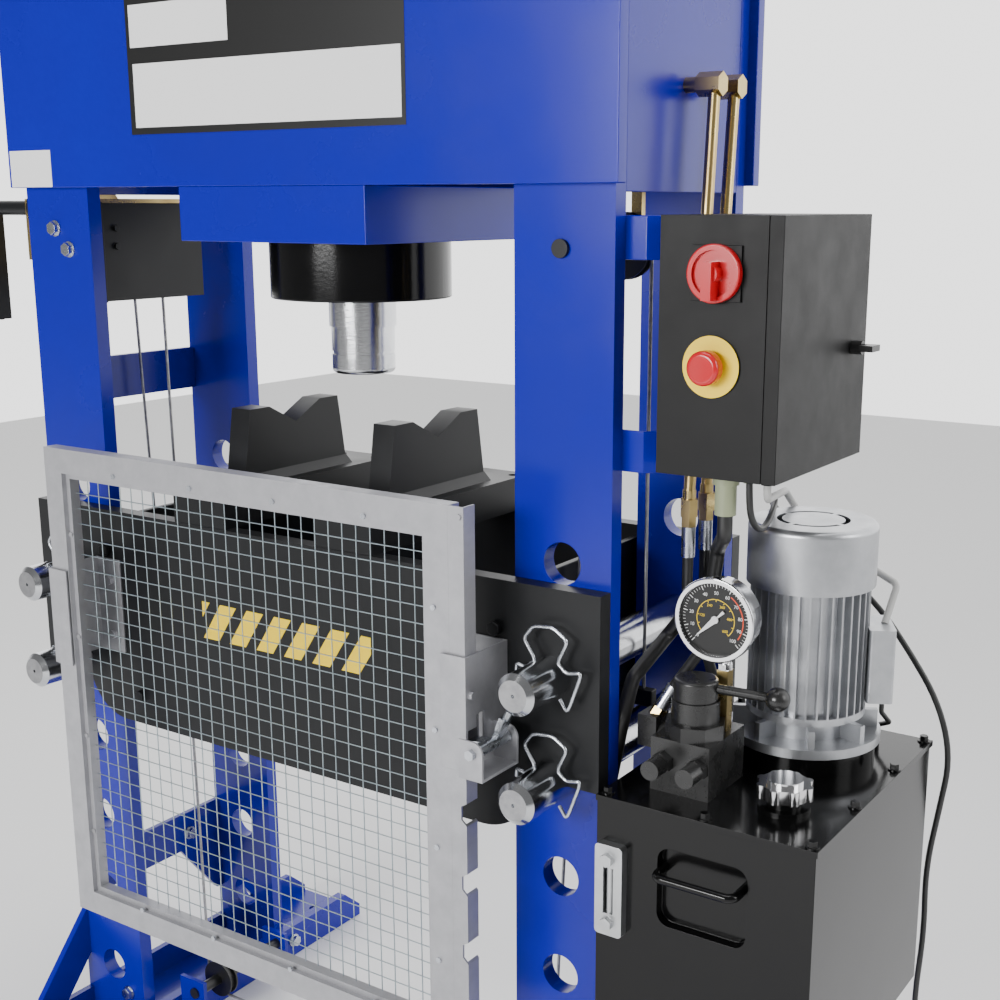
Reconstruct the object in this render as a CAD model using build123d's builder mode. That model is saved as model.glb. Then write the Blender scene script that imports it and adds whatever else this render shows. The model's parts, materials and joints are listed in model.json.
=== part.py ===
from build123d import *
from math import cos, hypot, radians, sin, tan
import os

os.makedirs("parts", exist_ok=True)

# Workshop press in millimetres. X runs to the right, Y to the back and Z up.
# The origin is on the floor, under the axis of the ram.

# Fits
run_gap = 0.08
joint_gap = 0.4

# Frame of flat bar
frame_half_x = 560
frame_half_y = 180
post_width = 150
post_thick = 25
post_inner_x = frame_half_x - post_width
post_back_y = frame_half_y - post_thick
frame_top = 1907
pin_x = frame_half_x - post_width / 2
pin_radius = 28.9
hole_radius = pin_radius + run_gap
hole_low_z = 130
hole_pitch = 150
hole_count = 7
side_plate = 12

# Feet
foot_half_y = 393
foot_base = 12
foot_top = 64
rail_thick = 20
foot_corner_y = 45
foot_corner_z = 40
anchor_radius = 9
anchor_y = 340
anchor_x = (frame_half_x + post_inner_x - rail_thick) / 2

# Head
head_over = 14
head_half_x = frame_half_x + head_over
head_plate = 20
head_low_z = 1517
head_face_y = frame_half_y + head_plate

# Ram
carriage_half_x = 180
carriage_low_z = 1438
carriage_wall = 20
barrel_radius = 110
bore_radius = 90
barrel_top_z = 1880
rod_radius = 52.5
nose_radius = 49.5
collar_radius = 140
collar_low_z = 1351
nose_top_z = 1307
ram_low_z = 1234
ram_groove_z = 1264

# Bed
bed_plate = 25
bed_gap = 1
bed_front_y = frame_half_y + bed_gap
bed_face_y = bed_front_y + bed_plate
bed_top_z = 1002
upper_pin_z = 880
lower_pin_z = 730
belly_over = 46
belly_half_x = post_inner_x + belly_over
belly_low_z = 641
belly_radius = 86
bed_end_gap = 9
bed_end_x = post_inner_x - bed_end_gap
bed_end_thick = 12

# V blocks
v_slab_x = 110
v_slab_y = 410
v_slab_z = 55
v_plate_x = 40
v_low_half = 122
v_top_half = 104
v_top_z = 1174
v_mouth_half = 60
v_depth = 31
v_centres = (-170, 124)

# Pins and their spring clips
pin_front_y = -297
pin_back_y = 226
pin_chamfer = 7.5
clip_y = -225
clip_wire = 1.6

# Guard
gate_left_x = -413
gate_right_x = 386
gate_low_z = 320
gate_top_z = 1118
gate_front_y = -298
gate_back_y = -273
gate_profile = 48
mesh_y = -278
rail_right_x = 411
rail_wall = 3
notch_pitch = 102
notch_top_z = 804
notch_tall = 25
guide_low_z = 761
guide_top_z = 920
guide_sheet = 3
guide_lip_y = -303
latch_pivot = (436, 798)

# Control box
box_gap = 62
box_wide = 141
box_left_x = frame_half_x + box_gap
box_right_x = box_left_x + box_wide
box_front_y = -180
box_back_y = 97
box_low_z = 1167
box_top_z = 1480
box_wall = 3
door_deep = 19
door_right_x = box_right_x + door_deep
switch_x = box_left_x + 77
switch_z = 1413
switch_radius = 34.5
stop_x = switch_x - 4
stop_z = 1303
stop_radius = 21
stop_stem = 10
lock_y = 50
lock_z = 1312

# Pressure pipes
pipe_radius = 7.75
pipe_gap = 40
pipe_x = frame_half_x + pipe_gap
elbow_z = 1642
ferrule_low_z = 1027
pipe_front_y = -43
pipe_rear_y = 8

# Tank
tank_gap = 5
tank_wide = 306
tank_left_x = frame_half_x + tank_gap
tank_right_x = tank_left_x + tank_wide
tank_front_y = -218
tank_back_y = 206
tank_low_z = 361
tank_top_z = 738
tank_wall = 4
lid_thick = 8
filler_x = tank_left_x + 224
filler_y = -126

# Motor
motor_x = tank_left_x + 168
motor_y = 68
motor_turn = 28
motor_flange_z = 767
motor_low_z = 805
motor_top_z = 988
cowl_top_z = 1075
fin_radius = 82
cowl_radius = 88
cowl_wall = 3
shaft_radius = 9
terminal_low_z = 826
terminal_tall = 104

# Valve and gauge
valve_x = tank_left_x + 95
valve_y = -127
valve_low_z = 738
valve_top_z = 812
lever_z = 880
gauge_x = valve_x + 13
gauge_z = 965
gauge_face_y = -110
gauge_depth = 37
gauge_radius = 57

# Lift
drum_y = -40
drum_z = 1450
drum_radius = 33
crank_y = -140
crank_z = 1485
crank_radius = 12
pulley_radius = 45
rope_radius = 2.5
low_pulley_x = 352
low_pulley_z = 80
low_shaft_radius = 10

# Cables
lead_radius = 4.5
grey_radius = 5
hose_radius = 7.5
conduit_radius = 10


def block(x0, x1, y0, y1, z0, z1, mode=Mode.ADD):
    """Box between two corners."""
    with Locations(((x0 + x1) / 2, (y0 + y1) / 2, (z0 + z1) / 2)):
        Box(x1 - x0, y1 - y0, z1 - z0, mode=mode)


def bar(start, way, radius, length, mode=Mode.ADD):
    """Round bar from a point along a direction."""
    with BuildSketch(Plane(origin=start, z_dir=way)) as end:
        Circle(radius)
    extrude(end.sketch, amount=length, mode=mode)


def hexagon(start, way, across, length, turn=0):
    """Hexagonal bar from a point along a direction."""
    with BuildSketch(Plane(origin=start, z_dir=way)) as end:
        RegularPolygon(across / 2, 6, major_radius=False, rotation=turn)
    extrude(end.sketch, amount=length)


def profile_x(x0, x1, points, mode=Mode.ADD):
    """Plate with an outline of (y, z) points between two X values."""
    with BuildSketch(Plane(origin=(x0, 0, 0), x_dir=(0, 1, 0), z_dir=(1, 0, 0))) as face:
        with BuildLine():
            Polyline(*points, close=True)
        make_face()
    extrude(face.sketch, amount=x1 - x0, mode=mode)


def profile_y(y0, y1, points, mode=Mode.ADD):
    """Plate with an outline of (x, z) points between two Y values."""
    with BuildSketch(Plane(origin=(0, y1, 0), x_dir=(1, 0, 0), z_dir=(0, -1, 0))) as face:
        with BuildLine():
            Polyline(*points, close=True)
        make_face()
    extrude(face.sketch, amount=y1 - y0, mode=mode)


def hose(points, radius, bends):
    """Round hose along straight runs joined by arcs."""
    with BuildLine() as path:
        FilletPolyline(*points, radius=bends)
    way = path.line % 0
    with BuildSketch(Plane(origin=points[0], z_dir=way)) as end:
        Circle(radius)
    sweep(end.sketch, path=path.line)


def post(side, y0):
    """Upright of flat bar with the row of pin holes."""
    inner = side * post_inner_x
    outer = side * frame_half_x
    block(min(inner, outer), max(inner, outer), y0, y0 + post_thick, foot_base, frame_top)
    for step in range(hole_count):
        z = hole_low_z + step * hole_pitch
        bar((side * pin_x, y0 - 1, z), (0, 1, 0), hole_radius, post_thick + 2, Mode.SUBTRACT)


with BuildPart() as front_post_left:
    post(-1, -frame_half_y)
with BuildPart() as front_post_right:
    post(1, -frame_half_y)
with BuildPart() as rear_post_left:
    post(-1, post_back_y)
with BuildPart() as rear_post_right:
    post(1, post_back_y)


def head_plate_at(y0):
    """Deep plate across the top of the posts."""
    block(-head_half_x, head_half_x, y0, y0 + head_plate, head_low_z, frame_top)


with BuildPart() as head_front_plate:
    head_plate_at(-head_face_y)
with BuildPart() as head_rear_plate:
    head_plate_at(frame_half_y)

# Plates and tie bars between the front and rear posts, at the outer faces
tie_high = (1155, 1230)
tie_low = (243, 318)
end_low_z = 1507
tie_in_x = frame_half_x - side_plate
gusset_y = 50
gusset_low_z = 128
gusset_nose = 16
with BuildPart() as side_plates:
    for side in (-1, 1):
        x0, x1 = sorted((side * tie_in_x, side * frame_half_x))
        block(x0, x1, -post_back_y, post_back_y, end_low_z, frame_top)
        block(x0, x1, -post_back_y, post_back_y, tie_low[0], tie_low[1])
        profile_x(x0, x1, [(gusset_y, tie_low[0]), (post_back_y, tie_low[0]),
                           (post_back_y, gusset_low_z), (post_back_y - gusset_nose, gusset_low_z)])
    block(-frame_half_x, -tie_in_x, -post_back_y, post_back_y, tie_high[0], tie_high[1])

# Feet with base plate, two rails, lugs for the low rope pulley and braces
brace_top_z = 228
brace_low_z = 135
brace_out_y = 294
brace_in_y = 239
brace_nose_z = 91
lug_x = 330
lug_thick = 8
lug_y = 110
lug_low_z = 46
lug_top_z = 104


def foot(side):
    """Channel foot along Y under one pair of posts."""
    inner = post_inner_x - rail_thick
    x0, x1 = sorted((side * inner, side * frame_half_x))
    block(x0, x1, -foot_half_y, foot_half_y, 0, foot_base)
    top = foot_top - foot_corner_z
    outline = [(-foot_half_y, foot_base), (-foot_half_y, top),
               (-foot_half_y + foot_corner_y, foot_top), (foot_half_y - foot_corner_y, foot_top),
               (foot_half_y, top), (foot_half_y, foot_base)]
    a0, a1 = sorted((side * inner, side * post_inner_x))
    profile_x(a0, a1, outline)
    b0, b1 = sorted((side * tie_in_x, side * frame_half_x))
    profile_x(b0, b1, outline)
    for y in (-frame_half_y, post_back_y):
        block(b0, b1, y, y + post_thick, foot_base, foot_top, Mode.SUBTRACT)
    for way in (-1, 1):
        profile_x(b0, b1, [(way * frame_half_y, brace_top_z), (way * brace_out_y, brace_nose_z),
                           (way * brace_out_y, foot_top), (way * brace_in_y, foot_top),
                           (way * frame_half_y, brace_low_z)])
    c0, c1 = sorted((side * lug_x, side * inner))
    for y in (-lug_y, lug_y - lug_thick):
        block(c0, c1, y, y + lug_thick, lug_low_z, lug_top_z)
        bar((side * low_pulley_x, y - 1, low_pulley_z), (0, 1, 0), low_shaft_radius + run_gap,
            lug_thick + 2, Mode.SUBTRACT)
    for y in (-anchor_y, anchor_y):
        bar((side * anchor_x, y, -1), (0, 0, 1), anchor_radius, foot_base + 2, Mode.SUBTRACT)


with BuildPart() as foot_left:
    foot(-1)
with BuildPart() as foot_right:
    foot(1)

# Hexagon bolts with washers that show on the frame
bolt_across = 19
bolt_head = 8
washer_radius = 13
washer_thick = 2.5


def bolt(start, way):
    """Washer and hexagon head that stand on a face."""
    bar(start, way, washer_radius, washer_thick)
    top = Vector(start) + Vector(way) * washer_thick
    hexagon(top, way, bolt_across, bolt_head)


with BuildPart() as frame_bolts:
    bolt((-493, -frame_half_y, 1453), (0, -1, 0))
    bolt((-462, -frame_half_y, 1420), (0, -1, 0))
    bolt((-448, -frame_half_y, 85), (0, -1, 0))
    bolt((-tie_in_x, 73, 275), (1, 0, 0))
    bolt((tie_in_x, 73, 275), (-1, 0, 0))
    for side in (-1, 1):
        bolt((side * (post_inner_x - rail_thick), 189, 34), (-side, 0, 0))
    bar((482, -frame_half_y, 1438), (0, -1, 0), 12, 6)

# Ram carriage, a box that hangs below the head
with BuildPart() as ram_carriage:
    block(-carriage_half_x, carriage_half_x, -head_face_y, head_face_y, carriage_low_z, head_low_z)
    block(carriage_wall - carriage_half_x, carriage_half_x - carriage_wall,
          carriage_wall - head_face_y, head_face_y - carriage_wall,
          carriage_low_z + carriage_wall, head_low_z, Mode.SUBTRACT)
    bar((0, 0, carriage_low_z), (0, 0, 1), barrel_radius + joint_gap, carriage_wall, Mode.SUBTRACT)

# Hydraulic cylinder inside the head
barrel_cap = 22
with BuildPart() as cylinder_barrel:
    bar((0, 0, carriage_low_z), (0, 0, 1), barrel_radius, barrel_top_z - carriage_low_z)
    bar((0, 0, carriage_low_z), (0, 0, 1), bore_radius,
        barrel_top_z - barrel_cap - carriage_low_z, Mode.SUBTRACT)

collar_round = 3
with BuildPart() as ram_collar:
    bar((0, 0, collar_low_z), (0, 0, 1), collar_radius, carriage_low_z - collar_low_z)
    fillet(ram_collar.edges().group_by(Axis.Z)[0], radius=collar_round)
    bar((0, 0, collar_low_z - 1), (0, 0, 1), rod_radius + run_gap,
        carriage_low_z - collar_low_z + 2, Mode.SUBTRACT)

# Piston rod with its head in the bore and a plain nose with two grooves
piston_low_z = 1790
piston_tall = 40
nose_round = 8
groove_wide = 5
groove_deep = 2
with BuildPart() as ram_piston:
    with BuildSketch(Plane.XZ) as half:
        with BuildLine():
            Polyline((0, ram_low_z), (nose_radius, ram_low_z), (nose_radius, ram_groove_z),
                     (nose_radius - groove_deep, ram_groove_z),
                     (nose_radius - groove_deep, ram_groove_z + groove_wide),
                     (nose_radius, ram_groove_z + groove_wide), (nose_radius, nose_top_z),
                     (rod_radius, nose_top_z), (rod_radius, piston_low_z),
                     (bore_radius - run_gap, piston_low_z),
                     (bore_radius - run_gap, piston_low_z + piston_tall),
                     (0, piston_low_z + piston_tall), close=True)
        make_face()
    revolve(half.sketch, axis=Axis.Z)
    fillet(ram_piston.edges().group_by(Axis.Z)[0], radius=nose_round)

# Bed plates with a belly between the posts and notches over the lower pins
with BuildSketch(Plane.XZ) as bed_outline:
    with Locations((0, (bed_top_z + lower_pin_z) / 2)):
        Rectangle(2 * frame_half_x, bed_top_z - lower_pin_z)
    with Locations((0, (bed_top_z + belly_low_z) / 2)):
        Rectangle(2 * belly_half_x, bed_top_z - belly_low_z)
    fillet(bed_outline.vertices().group_by(Axis.Y)[0], radius=belly_radius)
    with Locations((-pin_x, lower_pin_z), (pin_x, lower_pin_z),
                   (-pin_x, upper_pin_z), (pin_x, upper_pin_z)):
        Circle(hole_radius, mode=Mode.SUBTRACT)

with BuildPart() as bed_front_plate:
    extrude(bed_outline.sketch.moved(Location((0, -bed_front_y, 0))), amount=bed_plate)
with BuildPart() as bed_rear_plate:
    extrude(bed_outline.sketch.moved(Location((0, bed_face_y, 0))), amount=bed_plate)

# Plates, bars and lifting arms that join the two bed plates
end_plate_low_z = 745
end_plate_top_z = 985
spacer_radius = 16
spacer_x = 330
spacer_z = 690
arm_out_x = 540
arm_low_z = 792
arm_top_z = 817
arm_wide = 16
left_arm_y = 20
right_arm_y = -20
bed_bolt_z = 933
with BuildPart() as bed_spacers:
    for side in (-1, 1):
        x0, x1 = sorted((side * (bed_end_x - bed_end_thick), side * bed_end_x))
        block(x0, x1, -bed_front_y, bed_front_y, end_plate_low_z, end_plate_top_z)
        bar((side * spacer_x, -bed_front_y, spacer_z), (0, 1, 0), spacer_radius, 2 * bed_front_y)
        for z in (bed_bolt_z, spacer_z):
            x = side * (bed_end_x - bed_end_thick / 2) if z == bed_bolt_z else side * spacer_x
            hexagon((x, -bed_face_y, z), (0, -1, 0), bolt_across, bolt_head)
            hexagon((x, bed_face_y, z), (0, 1, 0), bolt_across, bolt_head)
    block(-arm_out_x, -bed_end_x, left_arm_y - arm_wide / 2, left_arm_y + arm_wide / 2,
          arm_low_z, arm_top_z)
    block(bed_end_x, arm_out_x, right_arm_y - arm_wide / 2, right_arm_y + arm_wide / 2,
          arm_low_z, arm_top_z)

# V blocks, each a slab with an upright plate and a weld bead round its foot
bead = 13
slab_hole_x = 38
slab_hole_y = 178
slab_hole_radius = 8
with BuildPart() as v_blocks:
    for x in v_centres:
        block(x - v_slab_x / 2, x + v_slab_x / 2, -v_slab_y / 2, v_slab_y / 2,
              bed_top_z, bed_top_z + v_slab_z)
        foot_z = bed_top_z + v_slab_z
        profile_x(x - v_plate_x / 2, x + v_plate_x / 2,
                  [(-v_low_half, foot_z), (v_low_half, foot_z), (v_top_half, v_top_z),
                   (v_mouth_half, v_top_z), (0, v_top_z - v_depth), (-v_mouth_half, v_top_z),
                   (-v_top_half, v_top_z)])
        for side in (-1, 1):
            edge = x + side * v_plate_x / 2
            profile_y(-v_low_half, v_low_half,
                      [(edge, foot_z), (edge + side * bead, foot_z), (edge, foot_z + bead)])
            for y in (-slab_hole_y, slab_hole_y):
                bar((x + side * slab_hole_x, y, foot_z), (0, 0, -1), slab_hole_radius, 20,
                    Mode.SUBTRACT)

# Bed pins, each with a wire clip through a cross hole in front of the bed plate
clip_path = [(-43, 6), (-42, 17), (-28, 14), (-12, 27), (-31, 54), (-16, 73), (14, 76),
             (38, 61), (22, 29), (36, 17), (60, 22), (38, -37), (26, -20)]
clip_bend = 3


def bed_pin(x, z):
    """Round pin with chamfered ends, a centre hole and its wire clip."""
    with BuildSketch(Plane.XY) as half:
        with BuildLine():
            Polyline((0, pin_front_y), (pin_radius - pin_chamfer, pin_front_y),
                     (pin_radius, pin_front_y + pin_chamfer), (pin_radius, pin_back_y - pin_chamfer),
                     (pin_radius - pin_chamfer, pin_back_y), (0, pin_back_y), close=True)
        make_face()
    turned = revolve(half.sketch, axis=Axis.Y, mode=Mode.PRIVATE)
    add(turned.moved(Location((x, 0, z))))
    bar((x, pin_front_y, z), (0, 1, 0), 3, 8, Mode.SUBTRACT)
    with BuildLine() as wire:
        FilletPolyline(*[(x + dx, clip_y, z + dz) for dx, dz in clip_path], radius=clip_bend)
    with BuildSketch(Plane(origin=wire.line @ 0, z_dir=wire.line % 0)) as end:
        Circle(clip_wire)
    sweep(end.sketch, path=wire.line)


with BuildPart() as pin_upper_left:
    bed_pin(-pin_x, upper_pin_z)
with BuildPart() as pin_upper_right:
    bed_pin(pin_x, upper_pin_z)
with BuildPart() as pin_lower_left:
    bed_pin(-pin_x, lower_pin_z)
with BuildPart() as pin_lower_right:
    bed_pin(pin_x, lower_pin_z)

# Guard frame with mitred bars, a step that holds the mesh, and its screws
step_wide = 9
step_deep = 8
screw_radius = 4
screw_tall = 3
gate_inner_left = gate_left_x + gate_profile
gate_inner_right = gate_right_x - gate_profile
gate_inner_low = gate_low_z + gate_profile
gate_inner_top = gate_top_z - gate_profile
screw_top_z = gate_top_z - 31
screw_low_z = gate_low_z + 42
with BuildPart() as guard_frame:
    block(gate_left_x, gate_right_x, gate_front_y, gate_back_y, gate_low_z, gate_top_z)
    block(gate_inner_left, gate_inner_right, gate_front_y, gate_back_y, gate_inner_low,
          gate_inner_top, Mode.SUBTRACT)
    block(gate_inner_left - step_wide, gate_inner_right + step_wide, gate_front_y,
          gate_front_y + step_deep, gate_inner_low - step_wide, gate_inner_top + step_wide,
          Mode.SUBTRACT)
    for z, xs in ((screw_top_z, (-251, -85, 80, 246)), (screw_low_z, (-252, -88, 76, 240))):
        for x in xs:
            bar((x, gate_front_y + 0.5, z), (0, -1, 0), screw_radius, screw_tall)
    for z in (979, 809, 639, 469):
        bar((gate_left_x + 43, gate_front_y + step_deep + 0.5, z), (0, -1, 0), screw_radius, screw_tall)
        bar((gate_right_x - 25, gate_front_y + 0.5, z), (0, -1, 0), screw_radius, screw_tall)

# Mesh panel between the bars of the frame, with the level wires behind the
# upright ones and each wire a bar of its own
wire_half = 1.2
wire_gap = 0.1
wire_pitch = 76
with BuildPart() as guard_mesh:
    x_low, x_high = gate_inner_left, gate_inner_right
    count_x = int((x_high - x_low) / wire_pitch)
    count_z = int((gate_inner_top - gate_inner_low) / wire_pitch)
    for step in range(count_x + 1):
        x = x_low + wire_half + step * (x_high - x_low - 2 * wire_half) / count_x
        block(x - wire_half, x + wire_half, mesh_y, mesh_y + 2 * wire_half,
              gate_inner_low, gate_inner_top)
    level_y = mesh_y + 2 * wire_half + wire_gap
    for step in range(count_z + 1):
        z = gate_inner_low + wire_half + step * (gate_inner_top - gate_inner_low - 2 * wire_half) / count_z
        block(x_low, x_high, level_y, level_y + 2 * wire_half, z - wire_half, z + wire_half)

# Notched rail on the right side of the gate
notch_deep = 9
with BuildPart() as guard_rail:
    block(gate_right_x, rail_right_x, gate_front_y, gate_back_y, gate_low_z, gate_top_z)
    block(gate_right_x, rail_right_x - rail_wall, gate_front_y + rail_wall, gate_back_y,
          gate_low_z, gate_top_z, Mode.SUBTRACT)
    for step in range(5):
        z = notch_top_z - step * notch_pitch
        x = rail_right_x - notch_deep
        profile_y(gate_front_y - 1, gate_back_y + 1,
                  [(x, z - notch_tall / 2), (x, z + notch_tall / 2 - 6),
                   (rail_right_x + 1, z + notch_tall / 2), (rail_right_x + 1, z - notch_tall / 2 - 9)],
                  Mode.SUBTRACT)
    bar((404, gate_front_y, 1105), (0, -1, 0), screw_radius, screw_tall)

# Folded guides on the bed plate, and the latch bracket welded on the right one
web_left_x = gate_left_x - 1.5
web_right_x = rail_right_x + 1
flange_y = -bed_face_y
lip_in_left = -376
lip_in_right = 374
back_lip_y = gate_back_y + 1
back_lip_wide = 20
guide_bolts = ((-384, 883), (-384, 790), (384, 883), (384, 790))
ear_front_y = -320
ear_back_y = -240
ear_thick = 4
ear_radius = 17
pivot_radius = 4
with BuildPart() as guard_guides:
    for side, web, lip in ((-1, web_left_x, lip_in_left), (1, web_right_x, lip_in_right)):
        w0, w1 = sorted((web, web + side * guide_sheet))
        block(w0, w1, guide_lip_y, flange_y, guide_low_z, guide_top_z)
        f0, f1 = sorted((web, side * 360))
        block(f0, f1, flange_y - guide_sheet, flange_y, guide_low_z, guide_top_z)
        g0, g1 = sorted((web, lip))
        block(g0, g1, guide_lip_y, guide_lip_y + guide_sheet, guide_low_z, guide_top_z)
        h0, h1 = sorted((web, web - side * back_lip_wide))
        block(h0, h1, back_lip_y, back_lip_y + guide_sheet, guide_low_z, guide_top_z)
    for x, z in guide_bolts:
        hexagon((x, flange_y - guide_sheet, z), (0, -1, 0), 13, 6)
    hexagon((web_right_x + guide_sheet, -292, 866), (1, 0, 0), 10, 5)
    px, pz = latch_pivot
    slot_low_z = notch_top_z - notch_tall
    block(web_right_x, web_right_x + guide_sheet, gate_front_y, -262, slot_low_z,
          notch_top_z + 32, Mode.SUBTRACT)
    x0 = web_right_x + guide_sheet
    for y in (ear_front_y, ear_back_y):
        block(x0, px, y, y + ear_thick, guide_low_z, pz + ear_radius)
        bar((px, y, pz), (0, 1, 0), ear_radius, ear_thick)
        block(px, px + ear_radius, y, y + ear_thick, guide_low_z, pz)
    block(x0, px + ear_radius, ear_front_y, ear_back_y + ear_thick, guide_low_z,
          guide_low_z + ear_thick)
    for y in (ear_front_y, ear_back_y):
        bar((px, y - 1, pz), (0, 1, 0), pivot_radius + run_gap, ear_thick + 2, Mode.SUBTRACT)

# Latch pawl on its pivot, with a nose at the notch and a knob on top
pawl_gap = 1
pawl_boss = 9
nose_x = rail_right_x + joint_gap
with BuildPart() as latch_pawl:
    y0 = ear_front_y + ear_thick + pawl_gap
    y1 = ear_back_y - pawl_gap
    bar((px, ear_front_y - 6, pz), (0, 1, 0), pivot_radius, ear_back_y + ear_thick + 6 - ear_front_y)
    hexagon((px, ear_front_y - joint_gap, pz), (0, -1, 0), 13, 6)
    bar((px, y0, pz), (0, 1, 0), pawl_boss, y1 - y0)
    profile_y(gate_front_y + 2, gate_back_y - 2,
              [(px, pz - pawl_boss), (nose_x, pz - 3), (nose_x, pz + 6), (px, pz + pawl_boss)])
    profile_y(-272, -252, [(px - 4, pz), (px + 4, pz), (px + 18, pz + 34), (px + 10, pz + 37)])
    bar((px + 14, -262, pz + 34), (0.5, 0, 0.87), 5, 16)

# Control box with its switch plate, stop collar, cable glands and inner parts
plate_half = 32.5
plate_thick = 4
disc_radius = 37
disc_thick = 3
collar_outer = 14
collar_tall = 5
stem_radius = 6
with BuildPart() as control_box:
    block(box_left_x, box_right_x, box_front_y, box_back_y, box_low_z, box_top_z)
    block(box_left_x + box_wall, box_right_x, box_front_y + box_wall, box_back_y - box_wall,
          box_low_z + box_wall, box_top_z - box_wall, Mode.SUBTRACT)
    block(switch_x - plate_half, switch_x + plate_half, box_front_y - plate_thick, box_front_y,
          switch_z - plate_half, switch_z + plate_half)
    bar((stop_x, box_front_y, stop_z), (0, -1, 0), disc_radius, disc_thick)
    bar((stop_x, box_front_y - disc_thick, stop_z), (0, -1, 0), collar_outer, collar_tall)
    bar((stop_x, box_front_y - 20, stop_z), (0, 1, 0), stop_stem + run_gap, 30, Mode.SUBTRACT)
    bar((switch_x, box_front_y - 20, switch_z), (0, 1, 0), stem_radius + run_gap, 30, Mode.SUBTRACT)
    bar((676, -90, box_low_z), (0, 0, -1), 17, 24)
    bar((676, -90, box_low_z - 24), (0, 0, -1), 14, 40)
    for x, r in ((706, lead_radius), (731, grey_radius)):
        hexagon((x, -85, box_low_z), (0, 0, -1), 20, 6)
        bar((x, -85, box_low_z - 6), (0, 0, -1), r + 3, 14)
        bar((x, -85, box_low_z + box_wall), (0, 0, -1), r + run_gap, 40, Mode.SUBTRACT)
    block(box_left_x + box_wall, box_left_x + box_wall + 22, -60, -10, 1220, 1300)
    block(box_left_x + box_wall, box_left_x + box_wall + 40, 10, 60, 1330, 1400)

# Door of the control box, a shallow tray that turns about its front corner
tray_wall = 2
with BuildPart() as box_door:
    door_x = box_right_x + joint_gap
    block(door_x, door_right_x, box_front_y, box_back_y, box_low_z, box_top_z)
    block(door_x, door_right_x - tray_wall, box_front_y + tray_wall, box_back_y - tray_wall,
          box_low_z + tray_wall, box_top_z - tray_wall, Mode.SUBTRACT)
    bar((door_x, lock_y, lock_z), (1, 0, 0), 5 + run_gap, 40, Mode.SUBTRACT)

with BuildPart() as door_lock:
    bar((door_right_x - 12, lock_y, lock_z), (1, 0, 0), 5, 30)
    bar((door_right_x + joint_gap, lock_y, lock_z), (1, 0, 0), 9, 14)
    block(door_right_x + 14, door_right_x + 32, lock_y - 14, lock_y + 14, lock_z - 4, lock_z + 4)
    block(door_right_x - 9, door_right_x - 6, lock_y - 6, lock_y + 6, lock_z - 24, lock_z + 8)

# Straps that carry the control box, and pads that carry the tank
strap_half = 27
strap = 4
strap_miter = strap * tan(radians(22.5))
strap_start_x = frame_half_x - 40
strap_bend_x = frame_half_x + 30
strap_bend_y = box_left_x - strap_bend_x - post_back_y
strap_end_y = -60
strap_levels = (1185, 1452)
with BuildPart() as side_brackets:
    for z in strap_levels:
        with BuildSketch(Plane.XY.offset(z - strap_half)) as run:
            with BuildLine():
                Polyline((strap_start_x, -post_back_y), (strap_bend_x, -post_back_y),
                         (box_left_x, strap_bend_y), (box_left_x, strap_end_y),
                         (box_left_x - strap, strap_end_y),
                         (box_left_x - strap, strap_bend_y + strap_miter),
                         (strap_bend_x - strap_miter, strap - post_back_y),
                         (strap_start_x, strap - post_back_y), close=True)
            make_face()
        extrude(run.sketch, amount=2 * strap_half)
        hexagon((strap_start_x + 20, strap - post_back_y, z), (0, 1, 0), 13, 6)
        hexagon((box_left_x - strap, strap_end_y - 25, z), (-1, 0, 0), 13, 6)
    for y in (-frame_half_y, post_back_y):
        block(frame_half_x, tank_left_x, y, y + post_thick, 400, 700)

# Red rotary handle and red stop button
with BuildPart() as switch_handle:
    front = box_front_y - plate_thick - joint_gap
    bar((switch_x, front, switch_z), (0, -1, 0), switch_radius, 9)
    fillet(switch_handle.edges().group_by(Axis.Y)[0], radius=2)
    bar((switch_x, front - 9, switch_z), (0, 1, 0), switch_radius - 7, 5, Mode.SUBTRACT)
    bar((switch_x, front - 4, switch_z), (0, -1, 0), 11, 16)
    block(switch_x - 6.5, switch_x + 6.5, front - 26, front - 4, switch_z - switch_radius + 4,
          switch_z + 14)
    bar((switch_x, box_front_y + 10, switch_z), (0, -1, 0), stem_radius, 20)
with BuildPart() as estop_button:
    bar((stop_x, box_front_y + 8, stop_z), (0, -1, 0), stop_stem, 26)
    bar((stop_x, box_front_y - 13, stop_z), (0, -1, 0), stop_radius, 16)
    fillet(estop_button.edges().group_by(Axis.Y)[0], radius=6)

# Pressure pipes from the cylinder down to the hoses
pipe_rows = ((-2, pipe_front_y), (55, pipe_rear_y))
pipe_top_z = elbow_z - 14
with BuildPart() as pressure_pipes:
    for top_y, low_y in pipe_rows:
        hexagon((pipe_x - 22, top_y, elbow_z), (1, 0, 0), 27, 34)
        bar((frame_half_x, top_y, elbow_z), (1, 0, 0), 10, 18)
        start = Vector(pipe_x, top_y, pipe_top_z + 4)
        end = Vector(pipe_x, low_y, 1118)
        bar(start, end - start, pipe_radius, (end - start).length)
        hexagon((pipe_x, low_y, 1083), (0, 0, 1), 22, 24)
        bar((pipe_x, low_y, 1107), (0, 0, 1), 9, 12)

with BuildPart() as hose_fittings:
    for top_y, low_y in pipe_rows:
        bar((pipe_x, low_y, ferrule_low_z), (0, 0, 1), 9.5, 42)
        hexagon((pipe_x, low_y, 1069), (0, 0, 1), 19, 14)
    bar((600, -112, 832), (0.42, 0.3, 0.86), 9.5, 34)
    hexagon((594, -116.5, 819), (0.42, 0.3, 0.86), 19, 15)

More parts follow.
